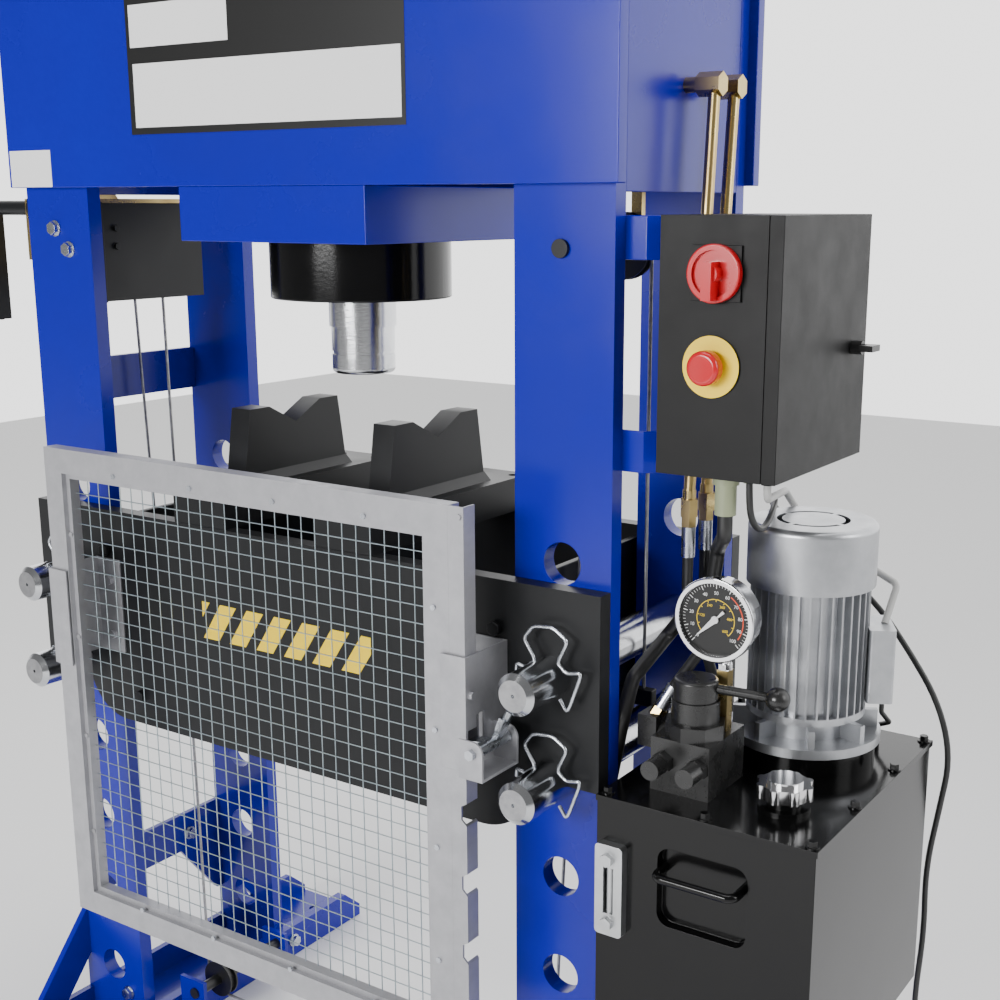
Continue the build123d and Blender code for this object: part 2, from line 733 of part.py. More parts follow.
# Hoses
with BuildPart() as hoses:
    hose([(pipe_x, pipe_front_y, ferrule_low_z + 6), (pipe_x, pipe_front_y, 975),
          (640, -62, 915), (612, -104, 857), (606, -107.7, 844)], hose_radius, 24)
    hose([(pipe_x, pipe_rear_y, ferrule_low_z + 6), (pipe_x, pipe_rear_y, 900),
          (645, -40, 850), (645, -40, valve_low_z + 40), (645, -59, valve_low_z + 40)],
         hose_radius, 15)

# Black conduit to a limit switch behind the post, grey motor cable and its tail
with BuildPart() as cables:
    hose([(676, -90, 1104), (676, -90, 1075), (632, -16, 1038), (624, -12, 990), (564, -28, 905),
          (556, -110, 865), (560, -143, 820), (541, -141, 728), (536, -141, 655), (489, -141, 655)],
         conduit_radius, 18)
    block(450, 490, -post_back_y, -121, 625, 690)
    hose([(731, -85, box_low_z - 4), (731, -85, 1128), (672, 110, 1100), (672, 185, 1040),
          (750, 205, 990), (824, 160, 975), (824, 116, terminal_low_z + terminal_tall - 1)],
         grey_radius, 16)
    hose([(826, 118, 828), (826, 118, 800), (828, 150, 775), (806, 165, 762),
          (806, 165, tank_top_z - 1)], 3.5, 9)

# Tank with its pocket, lid, filler neck and screws
pocket = (657, 783, 578, 687)
pocket_deep = 14
pocket_round = 18
with BuildPart() as tank_body:
    block(tank_left_x, tank_right_x, tank_front_y, tank_back_y, tank_low_z, tank_top_z - lid_thick)
    block(tank_left_x + tank_wall, tank_right_x - tank_wall, tank_front_y + tank_wall,
          tank_back_y - tank_wall, tank_low_z + tank_wall, tank_top_z - lid_thick, Mode.SUBTRACT)
    a, b, c, d = pocket
    block(a - tank_wall, b + tank_wall, tank_front_y, tank_front_y + pocket_deep + tank_wall,
          c - tank_wall, d + tank_wall)
    with BuildSketch(Plane.XZ.offset(-tank_front_y)) as hollow:
        with Locations(((a + b) / 2, (c + d) / 2)):
            RectangleRounded(b - a, d - c, pocket_round)
    extrude(hollow.sketch, amount=-pocket_deep, mode=Mode.SUBTRACT)

lid_over = 3
lid_screws = ((576, -208), (719, -211), (863, -211), (864, -73), (864, 74), (864, 198),
              (719, 198), (576, 198), (576, 0))
with BuildPart() as tank_lid:
    block(tank_left_x, tank_right_x + lid_over, tank_front_y - lid_over, tank_back_y + lid_over,
          tank_top_z - lid_thick, tank_top_z)
    for x, y in lid_screws:
        bar((x, y, tank_top_z), (0, 0, 1), 9, 2)
        hexagon((x, y, tank_top_z + 2), (0, 0, 1), 11, 7)
    bar((filler_x, filler_y, tank_top_z), (0, 0, 1), 34, 6)
    bar((filler_x, filler_y, tank_top_z + 6), (0, 0, 1), 22, 12)
    bar((filler_x, filler_y, tank_top_z - lid_thick - 1), (0, 0, 1), 17, 40, Mode.SUBTRACT)

grip_root_y = tank_front_y + pocket_deep + 1
with BuildPart() as tank_handle:
    with BuildLine() as grip:
        FilletPolyline((663, grip_root_y, 655), (663, -240, 655), (774, -240, 655),
                       (774, grip_root_y, 655), radius=12)
    with BuildSketch(Plane(origin=grip.line @ 0, z_dir=grip.line % 0)) as end:
        Circle(6)
    sweep(end.sketch, path=grip.line)

# Sight gauge for the oil level, a frame over a glass tube
gauge_left, gauge_right, gauge_low, gauge_high = 571, 612, 547, 676
with BuildPart() as level_gauge:
    with BuildSketch(Plane.XZ.offset(-tank_front_y)) as cover:
        with Locations(((gauge_left + gauge_right) / 2, (gauge_low + gauge_high) / 2)):
            RectangleRounded(gauge_right - gauge_left, gauge_high - gauge_low, 6)
            Rectangle(15, 66, mode=Mode.SUBTRACT)
    extrude(cover.sketch, amount=14)
    for z in (gauge_low + 19, gauge_high - 19):
        hexagon(((gauge_left + gauge_right) / 2, tank_front_y - 14, z), (0, -1, 0), 16, 8)
    bar(((gauge_left + gauge_right) / 2, tank_front_y - 7, gauge_low + 25), (0, 0, 1), 5, 80)

# Filler cap with finger lobes
lobe_count = 8
with BuildPart() as filler_cap:
    cap_z = tank_top_z + 18 + joint_gap
    with BuildSketch(Plane.XY.offset(cap_z)) as lobes:
        with Locations((filler_x, filler_y)):
            Circle(33)
            with PolarLocations(31, lobe_count):
                Circle(7)
    extrude(lobes.sketch, amount=18)
    bar((filler_x, filler_y, cap_z + 18), (0, 0, 1), 24, 6)
    bar((filler_x, filler_y, cap_z), (0, 0, -1), 17 - run_gap, 14)

# Motor with adapter, flange, fins, feet and terminal box
fin_count = 34
fin_thick = 2.6
core_radius = 70
web_count = 8
motor_plane = Plane(origin=(motor_x, motor_y, 0), x_dir=(cos(radians(motor_turn)), sin(radians(motor_turn)), 0))
with BuildPart() as motor_body:
    bar((motor_x, motor_y, tank_top_z), (0, 0, 1), 98, motor_flange_z - tank_top_z)
    bar((motor_x, motor_y, motor_flange_z), (0, 0, 1), 105, 13)
    bar((motor_x, motor_y, motor_flange_z + 13), (0, 0, 1), 66, motor_low_z - motor_flange_z - 13)
    with BuildSketch(motor_plane.offset(motor_flange_z + 13)) as webs:
        with PolarLocations(0, web_count):
            with Locations((80, 0)):
                Rectangle(40, 9)
    extrude(webs.sketch, amount=motor_low_z - motor_flange_z - 13)
    with BuildSketch(motor_plane.offset(motor_low_z)) as fins:
        Circle(core_radius)
        with PolarLocations(0, fin_count):
            with Locations(((core_radius + fin_radius) / 2 - 1, 0)):
                Rectangle(fin_radius - core_radius + 2, fin_thick)
    extrude(fins.sketch, amount=motor_top_z - motor_low_z)
    with BuildSketch(motor_plane.offset(motor_low_z)) as belt:
        Circle(fin_radius)
    extrude(belt.sketch, amount=10)
    with BuildSketch(motor_plane.offset(terminal_low_z)) as case:
        with Locations((fin_radius + 14, 0)):
            RectangleRounded(36, 78, 5)
    extrude(case.sketch, amount=terminal_tall)
    bar((motor_x, motor_y, motor_top_z), (0, 0, -1), shaft_radius + run_gap, 32, Mode.SUBTRACT)

# Cowl with ring slots over the fan
with BuildPart() as fan_cowl:
    bar((motor_x, motor_y, motor_top_z), (0, 0, 1), cowl_radius, cowl_top_z - motor_top_z)
    fillet(fan_cowl.edges().group_by(Axis.Z)[-1], radius=9)
    bar((motor_x, motor_y, motor_top_z), (0, 0, 1), cowl_radius - cowl_wall,
        cowl_top_z - motor_top_z - cowl_wall, Mode.SUBTRACT)
    with BuildSketch(motor_plane.offset(cowl_top_z - cowl_wall - 1)) as slots:
        for radius in (24, 35, 46):
            Circle(radius + 3.5)
            Circle(radius - 3.5, mode=Mode.SUBTRACT)
        for turn in (0, 90):
            Rectangle(120, 7, rotation=turn + 45, mode=Mode.SUBTRACT)
    extrude(slots.sketch, amount=cowl_wall + 2, mode=Mode.SUBTRACT)

with BuildPart() as motor_fan:
    bar((motor_x, motor_y, motor_top_z - 30), (0, 0, 1), shaft_radius, 70)
    bar((motor_x, motor_y, motor_top_z + 20), (0, 0, 1), 24, 30)
    with BuildSketch(motor_plane.offset(motor_top_z + 20)) as blades:
        with PolarLocations(0, 6):
            with Locations((48, 0)):
                Rectangle(56, 3)
    extrude(blades.sketch, amount=30)

# Valve block with its selector housing, relief valves and elbow
relief_x = (635, 685)
relief_z = 781
with BuildPart() as valve_block:
    block(615, 700, -165, -60, valve_low_z, valve_top_z)
    with BuildSketch(Plane.XY.offset(valve_top_z)) as flange:
        with Locations((valve_x, valve_y)):
            RegularPolygon(38, 8, major_radius=False)
    extrude(flange.sketch, amount=20)
    bar((valve_x, valve_y, valve_top_z + 20), (0, 0, 1), 32, 30)
    for x in relief_x:
        hexagon((x, -165, relief_z), (0, -1, 0), 26, 12)
        bar((x, -177, relief_z), (0, -1, 0), 13, 28)
    block(578, 606, -135, -100, 782, 826)
    bar((606, -118, 800), (1, 0, 0), 14, 9)
    bar((valve_x, valve_y, valve_top_z + 20), (0, 0, 1), 12 + run_gap, 40, Mode.SUBTRACT)

with BuildPart() as valve_lever:
    cap_low_z = valve_top_z + 50 + joint_gap
    bar((valve_x, valve_y, cap_low_z), (0, 0, 1), 29.5, 28)
    fillet(valve_lever.edges().group_by(Axis.Z)[-1], radius=4)
    bar((valve_x, valve_y, cap_low_z), (0, 0, -1), 12, 24)
    ball = Vector(764, -102, 873)
    root = Vector(valve_x, valve_y, lever_z)
    way = (ball - root).normalized()
    bar(root + way * 20, way, 6.5, (ball - root).length - 24)
    with Locations(ball):
        Sphere(16)

# Pressure gauge on its riser
with BuildPart() as gauge_case:
    back_y = gauge_face_y + gauge_depth
    bar((gauge_x, back_y, gauge_z), (0, -1, 0), gauge_radius - 5, gauge_depth)
    bar((gauge_x, gauge_face_y + 10, gauge_z), (0, -1, 0), gauge_radius, 10)
    fillet(gauge_case.edges().group_by(Axis.Y)[0], radius=2)
    bar((gauge_x, gauge_face_y, gauge_z), (0, 1, 0), gauge_radius - 7, 8, Mode.SUBTRACT)
    bar((gauge_x, gauge_face_y + 4, gauge_z), (0, 1, 0), 2 + run_gap, 12, Mode.SUBTRACT)
    block(683 - 8, 683 + 8, -98, -82, valve_top_z, 896)
    hexagon((683, -90, 896), (0, 0, 1), 18, 8)
    bar((683, -90, 904), (0, 0, 1), 7, 18)

with BuildPart() as gauge_pointer:
    bar((gauge_x, gauge_face_y + 4, gauge_z), (0, 1, 0), 2, 10)
    bar((gauge_x, gauge_face_y + 4, gauge_z), (0, 1, 0), 5, 2)
    profile_y(gauge_face_y + 4, gauge_face_y + 6,
              [(gauge_x + 3, gauge_z - 3), (gauge_x - 3, gauge_z + 3),
               (gauge_x - 28, gauge_z - 27)])
    profile_y(gauge_face_y + 4, gauge_face_y + 6,
              [(gauge_x - 3, gauge_z - 3), (gauge_x + 14, gauge_z + 11),
               (gauge_x + 11, gauge_z + 14)])

# Winch below the head, between the left posts
winch_out_x = 600
winch_plate = 4
winch_in_x = 438
pinion_radius = 20
gear_radius = hypot(crank_y - drum_y, crank_z - drum_z) - pinion_radius - joint_gap
gear_x = 592
gear_thick = 8
drum_flange = 50
shaft_hole = 8
with BuildPart() as winch_mounts:
    for x in (-winch_out_x, -winch_in_x):
        block(x, x + winch_plate, -post_back_y, 40, 1400, 1500)
        for y, z, r in ((drum_y, drum_z, shaft_hole), (crank_y, crank_z, crank_radius)):
            bar((x - 1, y, z), (1, 0, 0), r + run_gap, winch_plate + 2, Mode.SUBTRACT)
    block(-winch_out_x + winch_plate, -winch_in_x, -post_back_y, -post_back_y + winch_plate,
          1400, 1468)
    block(pin_x - 8, pin_x + 8, 4, 14, drum_z - 30, end_low_z + 10)
    block(pin_x - 8, frame_half_x - side_plate, 4, 14, end_low_z + 2, end_low_z + 10)
    bar((pin_x - 5, 4, 1437), (0, -1, 0), 9, 44)

shaft_end_x = winch_in_x - winch_plate + joint_gap
drum_left_x = 582
drum_right_x = 440
with BuildPart() as winch_drum:
    bar((-winch_out_x - 2, drum_y, drum_z), (1, 0, 0), shaft_hole, winch_out_x + 2 - shaft_end_x)
    bar((-drum_left_x, drum_y, drum_z), (1, 0, 0), drum_radius, drum_left_x - drum_right_x)
    for x in (-drum_left_x, -drum_right_x - winch_plate):
        bar((x, drum_y, drum_z), (1, 0, 0), drum_flange, winch_plate)
    bar((-gear_x, drum_y, drum_z), (1, 0, 0), gear_radius, gear_thick)

crank_arm_x = 700
crank_drop = 190
with BuildPart() as winch_crank:
    bar((-shaft_end_x, crank_y, crank_z), (-1, 0, 0), crank_radius, crank_arm_x - shaft_end_x)
    bar((-gear_x, crank_y, crank_z), (1, 0, 0), pinion_radius, gear_thick)
    block(-crank_arm_x - 8, -crank_arm_x, crank_y - 14, crank_y + 14, crank_z - crank_drop, crank_z)
    bar((-crank_arm_x - 8, crank_y, crank_z - crank_drop + 12), (-1, 0, 0), 14, 110)

cover_x = -430
cover_sheet = 3
with BuildPart() as winch_cover:
    block(cover_x - cover_sheet, cover_x, -post_back_y, 76, 1335, 1493)
    block(cover_x - cover_sheet, cover_x + 20, -post_back_y, -post_back_y + cover_sheet, 1335, 1493)
    for z in (1453, 1424):
        hexagon((cover_x, -112, z), (1, 0, 0), 10, 5)

# Rope wheels
groove_radius = 40


def wheel(centre, way, radius, groove, half):
    """Rope wheel with a V groove, turned about its middle."""
    for side in (-1, 1):
        start = Vector(centre) + Vector(way) * (side * half)
        bar(start, Vector(way) * -side, radius, half / 3)
    bar(Vector(centre) - Vector(way) * half, way, groove, 2 * half)


with BuildPart() as rope_pulley:
    wheel((pin_x - 5, -20, 1437), (0, 1, 0), pulley_radius, groove_radius, 10)
    bar((pin_x - 5, -40, 1437), (0, 1, 0), 9 + run_gap, 40, Mode.SUBTRACT)


def low_pulley(side):
    """Low rope wheel on its shaft between the foot lugs."""
    bar((side * low_pulley_x, -lug_y - 4, low_pulley_z), (0, 1, 0), low_shaft_radius, 2 * lug_y + 8)
    wheel((side * low_pulley_x, -45, low_pulley_z), (0, 1, 0), 34, 28, 9)


with BuildPart() as low_pulley_left:
    low_pulley(-1)
with BuildPart() as low_pulley_right:
    low_pulley(1)


def rope(start, end):
    """Straight length of wire rope."""
    way = Vector(end) - Vector(start)
    bar(start, way, rope_radius, way.length)


rope_low_z = low_pulley_z - 28 - rope_radius - joint_gap
with BuildPart() as lift_ropes:
    rope((-449, drum_y + drum_radius + 3, drum_z), (-low_pulley_x - 31, -45, low_pulley_z))
    rope((-arm_out_x + 15, left_arm_y, arm_top_z), (-525, drum_y + drum_radius + 4, drum_z))
    rope((-low_pulley_x, -45, rope_low_z), (low_pulley_x, -45, rope_low_z))
    rope((low_pulley_x + 31, -45, low_pulley_z), (pin_x - 5 - groove_radius - 3, -20, 1437))
    rope((pin_x - 5 + groove_radius + 3, -20, 1437), (pin_x - 5 + groove_radius + 3, -20, arm_top_z))

# Mains lead, put away in a coil with its plug on the floor behind the tank
lead_route = [(706, -85, 1160), (706, -85, 1115), (707, -66, 1085), (704, -30, 1075),
              (695, 20, 1092), (668, 85, 1098), (632, 150, 1070), (650, 215, 1020),
              (705, 243, 965), (770, 243, 915), (818, 241, 858), (868, 243, 785),
              (892, 241, 705), (880, 243, 620), (866, 242, 520), (870, 244, 415),
              (862, 243, 305), (866, 247, 195), (852, 258, 95), (835, 290, 33),
              (800, 334, 4.5), (745, 348.5, 4.5), (700, 348.5, 4.5)]
coil_centre = (700, 290)
coil_inner = 45
coil_outer = 63
coil_tall = 4 * lead_radius
plug_radius = 13.5
plug_y = 248


def bend_radii(route):
    """Arc radius at each corner of a route, from its shorter run and its turn."""
    found = []
    for before, here, after in zip(route, route[1:], route[2:]):
        a = Vector(here) - Vector(before)
        b = Vector(after) - Vector(here)
        turn = radians(a.get_angle(b))
        found.append(0.45 * min(a.length, b.length) / tan(turn / 2))
    return found


lead_bends = bend_radii(lead_route)
with BuildPart() as mains_lead:
    hose(lead_route, lead_radius, lead_bends)
    bar((coil_centre[0] - coil_outer + lead_radius, plug_y + 20, 3 * lead_radius), (0, -1, 0),
        lead_radius, 21)

with BuildPart() as lead_coil:
    bar((*coil_centre, 0), (0, 0, 1), coil_outer, coil_tall)
    bar((*coil_centre, 0), (0, 0, 1), coil_inner, coil_tall, Mode.SUBTRACT)

with BuildPart() as lead_plug:
    with BuildSketch(Plane.XY) as half:
        with BuildLine():
            Polyline((0, 0), (lead_radius + 2, 0), (plug_radius - 4, 24), (plug_radius, 30),
                     (plug_radius, 62), (0, 62), close=True)
        make_face()
    revolve(half.sketch, axis=Axis.Y)
    for side in (-1, 1):
        bar((side * 6, 62, 0), (0, 1, 0), 2.4, 18)
plug_place = Location((coil_centre[0] - coil_outer + lead_radius, plug_y, plug_radius), (0, 0, 180))

lead_length = mains_lead.part.volume / (3.1416 * lead_radius ** 2)
print("lead bends", [round(r) for r in lead_bends], "length", round(lead_length))

names = [name for name, item in list(globals().items()) if isinstance(item, BuildPart)]
for name in names:
    item = globals()[name]
    shape = item.part.moved(plug_place) if name == "lead_plug" else item.part
    shape.label = name
    export_step(shape, f"parts/{name}.step")
    print(name, len(item.part.solids()), round(item.part.volume / 1000))
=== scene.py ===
import json
from math import cos, pi, radians, sin

import bmesh
import bpy
from mathutils import Matrix, Vector

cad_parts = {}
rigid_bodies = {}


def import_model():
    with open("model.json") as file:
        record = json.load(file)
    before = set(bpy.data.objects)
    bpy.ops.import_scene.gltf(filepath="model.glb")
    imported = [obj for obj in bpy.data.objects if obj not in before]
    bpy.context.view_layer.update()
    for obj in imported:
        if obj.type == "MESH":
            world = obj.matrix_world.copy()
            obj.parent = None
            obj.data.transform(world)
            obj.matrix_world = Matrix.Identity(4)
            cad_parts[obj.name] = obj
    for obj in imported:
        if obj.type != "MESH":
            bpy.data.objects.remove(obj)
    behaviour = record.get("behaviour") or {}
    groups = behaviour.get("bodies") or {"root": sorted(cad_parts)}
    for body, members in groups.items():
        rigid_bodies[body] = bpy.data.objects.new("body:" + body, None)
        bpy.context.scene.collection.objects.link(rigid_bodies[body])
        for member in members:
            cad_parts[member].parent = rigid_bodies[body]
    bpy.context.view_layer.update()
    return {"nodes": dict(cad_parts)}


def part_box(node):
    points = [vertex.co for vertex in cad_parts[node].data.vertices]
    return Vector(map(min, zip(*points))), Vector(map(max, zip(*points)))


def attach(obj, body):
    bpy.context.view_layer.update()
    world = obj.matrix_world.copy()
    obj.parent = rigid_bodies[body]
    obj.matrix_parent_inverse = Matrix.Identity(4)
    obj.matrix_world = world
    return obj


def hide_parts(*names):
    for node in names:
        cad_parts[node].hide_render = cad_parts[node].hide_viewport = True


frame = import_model()
nodes = frame["nodes"]

# Studio: a camera at eye height in front of the right post, a plain white
# floor, a room that is white behind the press and dim behind the camera, and
# three large soft lamps, as in a catalogue picture.
camera_data = bpy.data.cameras.new("studio camera")
camera = bpy.data.objects.new("studio camera", camera_data)
bpy.context.scene.collection.objects.link(camera)
camera.location = (1.4381, -1.6851, 1.4937)
camera.rotation_euler = (radians(76.873), radians(-0.018), radians(33.455))
camera_data.sensor_width = 36
camera_data.lens = 50.2
camera_data.shift_x = -0.036
camera_data.shift_y = 0.028
camera_data.clip_end = 60
bpy.context.scene.camera = camera

world = bpy.data.worlds.new("studio room")
world.use_nodes = True
room = world.node_tree
direction = room.nodes.new("ShaderNodeTexCoord")
axes = room.nodes.new("ShaderNodeSeparateXYZ")
backdrop = room.nodes.new("ShaderNodeMapRange")
backdrop.inputs["From Min"].default_value = -0.1
backdrop.inputs["From Max"].default_value = 0.55
backdrop.inputs["To Min"].default_value = 0.25
backdrop.inputs["To Max"].default_value = 2.3
room.links.new(direction.outputs["Generated"], axes.inputs["Vector"])
room.links.new(axes.outputs["Y"], backdrop.inputs["Value"])
room.links.new(backdrop.outputs["Result"], room.nodes["Background"].inputs["Strength"])
room.nodes["Background"].inputs["Color"].default_value = (1, 1, 1, 1)
bpy.context.scene.world = world


def plain_material(name, colour, roughness, metallic=0.0):
    """Material whose values are the same all over."""
    made = bpy.data.materials.new(name)
    made.use_nodes = True
    shader = made.node_tree.nodes["Principled BSDF"]
    shader.inputs["Base Color"].default_value = (*colour, 1)
    shader.inputs["Roughness"].default_value = roughness
    shader.inputs["Metallic"].default_value = metallic
    return made


bpy.ops.mesh.primitive_plane_add(size=14, location=(0, 1, -0.001))
floor = bpy.context.object
floor.name = "floor"
floor.data.materials.append(plain_material("studio floor", (0.82, 0.82, 0.82), 0.6))


def soft_lamp(name, place, target, width, height, power):
    """Large rectangular lamp that points at a spot."""
    data = bpy.data.lights.new(name, "AREA")
    data.shape = "RECTANGLE"
    data.size = width
    data.size_y = height
    data.energy = power
    lamp = bpy.data.objects.new(name, data)
    lamp.location = place
    way = Vector(target) - Vector(place)
    lamp.rotation_euler = way.to_track_quat("-Z", "Y").to_euler()
    bpy.context.scene.collection.objects.link(lamp)
    return lamp


key_lamp = soft_lamp("key lamp", (-0.4, -4.6, 2.0), (0, 0, 1.0), 2.2, 1.2, 230)
side_lamp = soft_lamp("side lamp", (4.2, 0.2, 2.6), (0.6, 0, 1.0), 1.6, 2.2, 60)
top_lamp = soft_lamp("top lamp", (0.4, -0.6, 4.6), (0.3, 0, 0.8), 2.5, 2.0, 60)


def deselect():
    """Nothing stays selected before the next operator."""
    for item in bpy.context.view_layer.objects:
        item.select_set(False)


deselect()

# Frame: flame-cut plates and flat bars, welded or bolted together, under a
# glossy royal blue paint that is slightly uneven and has an orange-peel skin.


def socket(tree, name, kind, value=None, out=False):
    """Named input or output of a node group."""
    made = tree.interface.new_socket(name=name, in_out="OUTPUT" if out else "INPUT", socket_type=kind)
    if value is not None:
        made.default_value = value


def build_uneven_group():
    """Group that varies a colour and a roughness over the surface."""
    tree = bpy.data.node_groups.new("uneven finish", "ShaderNodeTree")
    socket(tree, "Colour", "NodeSocketColor", (0.5, 0.5, 0.5, 1))
    socket(tree, "Second Colour", "NodeSocketColor", (0.4, 0.4, 0.4, 1))
    socket(tree, "Scale", "NodeSocketFloat", 6.0)
    socket(tree, "Rough Low", "NodeSocketFloat", 0.2)
    socket(tree, "Rough High", "NodeSocketFloat", 0.4)
    socket(tree, "Colour", "NodeSocketColor", out=True)
    socket(tree, "Roughness", "NodeSocketFloat", out=True)
    entry = tree.nodes.new("NodeGroupInput")
    end = tree.nodes.new("NodeGroupOutput")
    place = tree.nodes.new("ShaderNodeTexCoord")
    noise = tree.nodes.new("ShaderNodeTexNoise")
    noise.inputs["Detail"].default_value = 6
    noise.inputs["Roughness"].default_value = 0.6
    spread = tree.nodes.new("ShaderNodeMapRange")
    spread.inputs["From Min"].default_value = 0.35
    spread.inputs["From Max"].default_value = 0.65
    mix = tree.nodes.new("ShaderNodeMix")
    mix.data_type = "RGBA"
    rough = tree.nodes.new("ShaderNodeMapRange")
    rough.inputs["From Min"].default_value = 0.3
    rough.inputs["From Max"].default_value = 0.7
    link = tree.links.new
    link(place.outputs["Object"], noise.inputs["Vector"])
    link(entry.outputs["Scale"], noise.inputs["Scale"])
    link(noise.outputs["Fac"], spread.inputs["Value"])
    link(spread.outputs["Result"], mix.inputs["Factor"])
    link(entry.outputs["Colour"], mix.inputs["A"])
    link(entry.outputs["Second Colour"], mix.inputs["B"])
    link(noise.outputs["Fac"], rough.inputs["Value"])
    link(entry.outputs["Rough Low"], rough.inputs["To Min"])
    link(entry.outputs["Rough High"], rough.inputs["To Max"])
    link(mix.outputs["Result"], end.inputs["Colour"])
    link(rough.outputs["Result"], end.inputs["Roughness"])
    return tree


def build_skin_group():
    """Group that gives a fine or coarse bump as a normal."""
    tree = bpy.data.node_groups.new("surface skin", "ShaderNodeTree")
    socket(tree, "Scale", "NodeSocketFloat", 300.0)
    socket(tree, "Strength", "NodeSocketFloat", 0.1)
    socket(tree, "Stretch", "NodeSocketVector", (1, 1, 1))
    socket(tree, "Normal", "NodeSocketVector", out=True)
    entry = tree.nodes.new("NodeGroupInput")
    end = tree.nodes.new("NodeGroupOutput")
    place = tree.nodes.new("ShaderNodeTexCoord")
    stretch = tree.nodes.new("ShaderNodeVectorMath")
    stretch.operation = "MULTIPLY"
    noise = tree.nodes.new("ShaderNodeTexNoise")
    noise.inputs["Detail"].default_value = 3
    bump = tree.nodes.new("ShaderNodeBump")
    bump.inputs["Distance"].default_value = 0.001
    link = tree.links.new
    link(place.outputs["Object"], stretch.inputs[0])
    link(entry.outputs["Stretch"], stretch.inputs[1])
    link(stretch.outputs["Vector"], noise.inputs["Vector"])
    link(entry.outputs["Scale"], noise.inputs["Scale"])
    link(noise.outputs["Fac"], bump.inputs["Height"])
    link(entry.outputs["Strength"], bump.inputs["Strength"])
    link(bump.outputs["Normal"], end.inputs["Normal"])
    return tree


uneven_group = build_uneven_group()
skin_group = build_skin_group()


def finish(name, first, second, low, high, metallic=0.0, scale=6.0, skin=None, coat=0.0, specular=0.5):
    """Material with an uneven colour and gloss, and a bumpy skin if asked."""
    made = plain_material(name, first, low, metallic)
    tree = made.node_tree
    shader = tree.nodes["Principled BSDF"]
    uneven = tree.nodes.new("ShaderNodeGroup")
    uneven.node_tree = uneven_group
    uneven.inputs["Colour"].default_value = (*first, 1)
    uneven.inputs["Second Colour"].default_value = (*second, 1)
    uneven.inputs["Scale"].default_value = scale
    uneven.inputs["Rough Low"].default_value = low
    uneven.inputs["Rough High"].default_value = high
    tree.links.new(uneven.outputs["Colour"], shader.inputs["Base Color"])
    tree.links.new(uneven.outputs["Roughness"], shader.inputs["Roughness"])
    if skin:
        bumps = tree.nodes.new("ShaderNodeGroup")
        bumps.node_tree = skin_group
        bumps.inputs["Scale"].default_value = skin[0]
        bumps.inputs["Strength"].default_value = skin[1]
        bumps.inputs["Stretch"].default_value = skin[2] if len(skin) > 2 else (1, 1, 1)
        tree.links.new(bumps.outputs["Normal"], shader.inputs["Normal"])
    shader.inputs["Specular IOR Level"].default_value = specular
    if coat:
        shader.inputs["Coat Weight"].default_value = coat
        shader.inputs["Coat Roughness"].default_value = 0.08
    return made


def edged(node, body, material, width=0.0015):
    """Copy of a CAD node with its sharp edges rounded, in place of the node."""
    mesh = nodes[node].data.copy()
    mesh.materials.clear()
    made = bpy.data.objects.new(node + "_finished", mesh)
    bpy.context.scene.collection.objects.link(made)
    work = bmesh.new()
    work.from_mesh(mesh)
    bmesh.ops.remove_doubles(work, verts=work.verts, dist=0.00002)
    bmesh.ops.dissolve_limit(work, angle_limit=radians(1), verts=work.verts, edges=work.edges)
    work.to_mesh(mesh)
    work.free()
    mesh.materials.append(material)
    bevel = made.modifiers.new("rounded edges", "BEVEL")
    bevel.width = width
    bevel.segments = 2
    bevel.limit_method = "ANGLE"
    bevel.angle_limit = radians(35)
    deselect()
    made.select_set(True)
    bpy.context.view_layer.objects.active = made
    bpy.ops.object.modifier_apply(modifier=bevel.name)
    bpy.ops.object.shade_smooth_by_angle(angle=radians(32))
    flat = made.modifiers.new("flat faces", "WEIGHTED_NORMAL")
    flat.keep_sharp = True
    bpy.ops.object.modifier_apply(modifier=flat.name)
    deselect()
    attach(made, body)
    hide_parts(node)
    return made


def smoothed(item, angle):
    """Smooth shading where two faces meet at less than an angle in degrees."""
    deselect()
    item.select_set(True)
    bpy.context.view_layer.objects.active = item
    bpy.ops.object.shade_smooth_by_angle(angle=radians(angle))
    deselect()


def dressed(node, material):
    """A CAD node keeps its own mesh and gets a material."""
    item = nodes[node]
    item.data.materials.clear()
    item.data.materials.append(material)
    smoothed(item, 30)
    return item


def tinted(item, material, low, high):
    """The faces of a piece between two corners get another material."""
    item.data.materials.append(material)
    last = len(item.data.materials) - 1
    for face in item.data.polygons:
        if all(a <= c <= b for a, c, b in zip(low, face.center, high)):
            face.material_index = last


blue_paint = finish("blue paint", (0.0, 0.0025, 0.33), (0.0, 0.0015, 0.28), 0.2, 0.32,
                    scale=3, skin=(260, 0.08), specular=0.4)
for name in ("front_post_left", "front_post_right", "rear_post_left", "rear_post_right",
             "head_front_plate", "head_rear_plate", "side_plates", "foot_left", "foot_right",
             "ram_carriage", "side_brackets"):
    edged(name, "frame", blue_paint)

zinc = finish("bright zinc", (0.62, 0.65, 0.7), (0.5, 0.52, 0.55), 0.2, 0.35, metallic=1.0, scale=60)
bolts = edged("frame_bolts", "frame", zinc, 0.0008)

# Head plate films: a dark panel with two white fields on it, and a small
# white plate near the left end of the plate.
white_film = plain_material("white film", (0.8, 0.8, 0.8), 0.35)
black_film = plain_material("black film", (0.004, 0.004, 0.004), 0.4)
yellow_film = plain_material("yellow film", (0.95, 0.66, 0.0), 0.45)


def panel(name, low, high, thick, material):
    """Thin box between two corners on a face that looks to the front."""
    middle = [(a + b) / 2 for a, b in zip(low, high)]
    bpy.ops.mesh.primitive_cube_add(size=1, location=(middle[0], middle[1] - thick / 2, middle[2]))
    made = bpy.context.object
    made.name = name
    made.scale = (high[0] - low[0], thick, high[2] - low[2])
    bpy.ops.object.transform_apply(location=True, rotation=True, scale=True)
    made.data.materials.append(material)
    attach(made, "frame")
    deselect()


